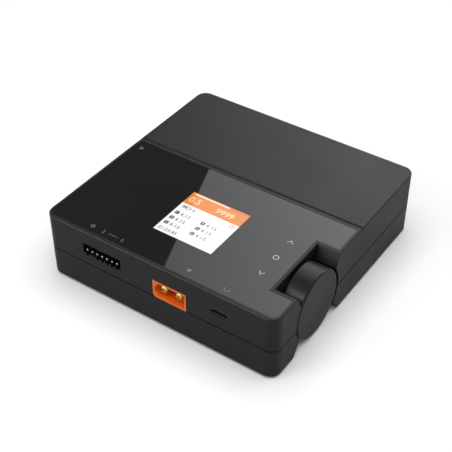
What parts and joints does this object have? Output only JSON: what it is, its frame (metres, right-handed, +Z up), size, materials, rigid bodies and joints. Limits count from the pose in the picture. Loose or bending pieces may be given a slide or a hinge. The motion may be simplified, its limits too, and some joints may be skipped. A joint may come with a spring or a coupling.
{
  "type": "balance battery charger",
  "caption": "Square tabletop battery charger with a glass panel, small screen, side control drum, orange battery socket, balance header and built-in mains supply.",
  "frame": {"origin": "on the table, under the centre of the case", "axes": "+X to the right, where the control drum is; +Y to the back, -Y is the face with the sockets; +Z up"},
  "size_m": [0.11, 0.11, 0.031],
  "materials": {
    "casing": "fine matt texture",
    "panel": "black glass, high gloss",
    "screen": "colour screen",
    "rubber": "matt",
    "drum_plastic": "fine matt texture",
    "orange_plastic": "satin",
    "black_plastic": "moulded",
    "gold": "gold plate",
    "tin": "tin plate",
    "steel": "zinc plate",
    "board": "solder mask",
    "ferrite": "sintered",
    "tape": "polyester tape",
    "sleeve": "shrink sleeve",
    "copper": "enamelled wire",
    "grey_plastic": "moulded",
    "aluminium": "bare",
    "chip": "moulded resin",
    "film": "polyimide film"
  },
  "bodies": {
    "case": {"lower_shell": "casing", "upper_shell": "casing", "panel_glass": "panel", "display_module": "screen", "display_ribbon": "film", "display_connector": "grey_plastic", "feet": "rubber", "case_screws": "steel", "switch_dome": "steel", "encoder_body": "black_plastic", "encoder_bush": "steel", "encoder_nut": "steel", "encoder_board": "board", "battery_socket_body": "orange_plastic", "battery_socket_pins": "gold", "dc_socket_body": "orange_plastic", "dc_socket_pins": "gold", "balance_header_body": "black_plastic", "balance_header_pins": "tin", "usb_shell": "steel", "usb_tongue": "black_plastic", "mains_inlet_body": "black_plastic", "mains_inlet_pins": "tin", "fan_frame": "black_plastic", "power_board": "board", "power_board_screws": "steel", "control_board": "board", "control_board_screws": "steel", "transformer_core": "ferrite", "transformer_winding": "tape", "bulk_capacitor": "sleeve", "filter_choke": "copper", "filter_capacitor": "grey_plastic", "fuse_holder": "black_plastic", "rectifier": "chip", "heat_sink": "aluminium", "power_transistors": "chip", "inductors": "chip", "output_capacitors": "aluminium", "switching_transistors": "chip", "balance_resistors": "chip", "board_link": "black_plastic", "controller_chip": "chip", "buzzer": "black_plastic", "insulation_sheet": "film"},
    "press_carrier": {"push_plunger": "grey_plastic"},
    "drum": {"control_drum": "drum_plastic", "drum_hub": "black_plastic", "drum_shaft": "steel"},
    "impeller": {"fan_rotor": "black_plastic"}
  },
  "joints": [
    {"name": "drum_press", "type": "slide", "parent": "case", "child": "press_carrier", "axis": [-1, 0, 0], "range_m": [0, 0.0005], "stiffness_N_per_m": 6000},
    {"name": "drum_spin", "type": "hinge", "parent": "press_carrier", "child": "drum", "pos_m": [0.05, -0.0246, 0.016], "axis": [1, 0, 0], "continuous": true},
    {"name": "fan_spin", "type": "hinge", "parent": "case", "child": "impeller", "pos_m": [0.028, 0.0495, 0.016], "axis": [0, 1, 0], "continuous": true}
  ]
}
